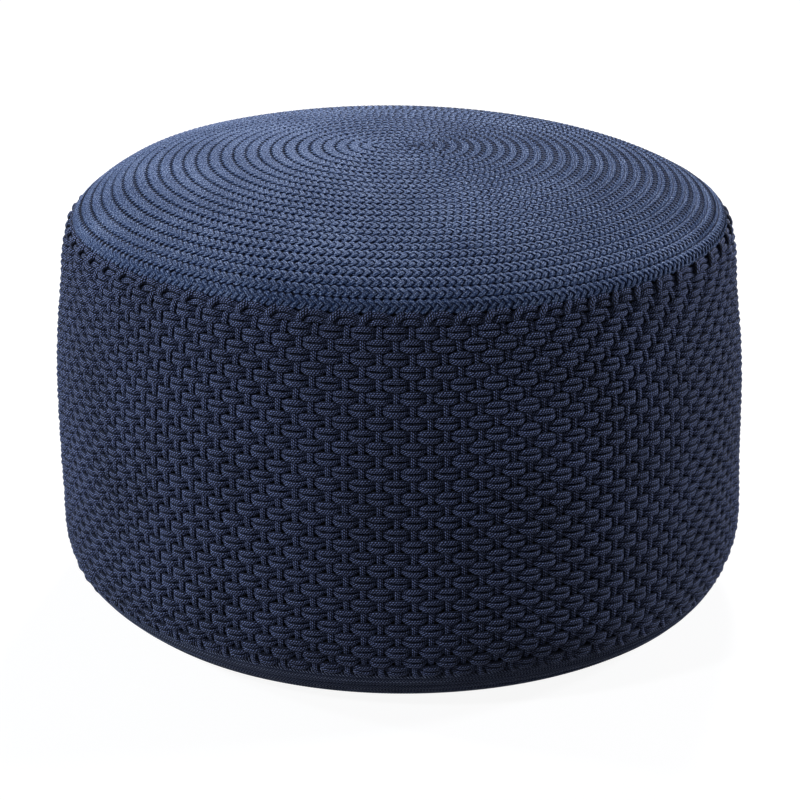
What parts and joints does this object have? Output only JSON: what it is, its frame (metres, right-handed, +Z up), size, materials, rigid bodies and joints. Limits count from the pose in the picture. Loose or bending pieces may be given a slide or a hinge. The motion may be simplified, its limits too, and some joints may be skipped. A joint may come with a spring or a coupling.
{
  "type": "woven pouf footstool",
  "caption": "Round drum-shaped outdoor footstool: cord-woven side, coiled flat-braid top with a low crown, braided foot band, and a foam cushion behind a zip in the base.",
  "frame": {"origin": "on the floor under the middle of the footstool, at the centre of the foot", "axes": "+Z up along the drum's axis, +X along the zip towards its closed end, -Y towards the camera"},
  "size_m": [0.6, 0.6, 0.4],
  "materials": {
    "cord": "braided polyester cord, navy, matte with a soft sheen",
    "braid": "flat yarn braid, navy, matte with a soft sheen",
    "lining": "coated woven polyester, near black",
    "bag": "plain woven polyester, near black",
    "tape": "woven zip tape, near black",
    "nylon": "moulded acetal, near black",
    "black_metal": "die-cast zinc, black lacquer",
    "foam": "open-cell foam, off-white",
    "wadding": "polyester fibre, white"
  },
  "bodies": {
    "footstool": {"top_braid": "braid", "side_weave": "cord", "base_braid": "braid", "base_panel_back": "lining", "base_panel_front": "lining", "zip_tape_back": "tape", "zip_tape_front": "tape", "zip_teeth_back": "nylon", "zip_teeth_front": "nylon", "zip_stop_back": "nylon", "zip_stop_front": "nylon", "zip_end_box": "nylon", "bag_top": "bag", "bag_side": "bag", "bag_base": "bag", "foam_core": "foam", "fibre_topper": "wadding"},
    "slider": {"zip_slider": "black_metal"},
    "pull": {"zip_pull": "black_metal"}
  },
  "joints": [
    {"name": "zip_slide", "type": "slide", "parent": "footstool", "child": "slider", "axis": [1, 0, 0], "range_m": [-0.337, 0]},
    {"name": "pull_swing", "type": "hinge", "parent": "slider", "child": "pull", "pos_m": [0.1685, 0, 0.00535], "axis": [0, -1, 0], "range_deg": [0, 180]}
  ]
}
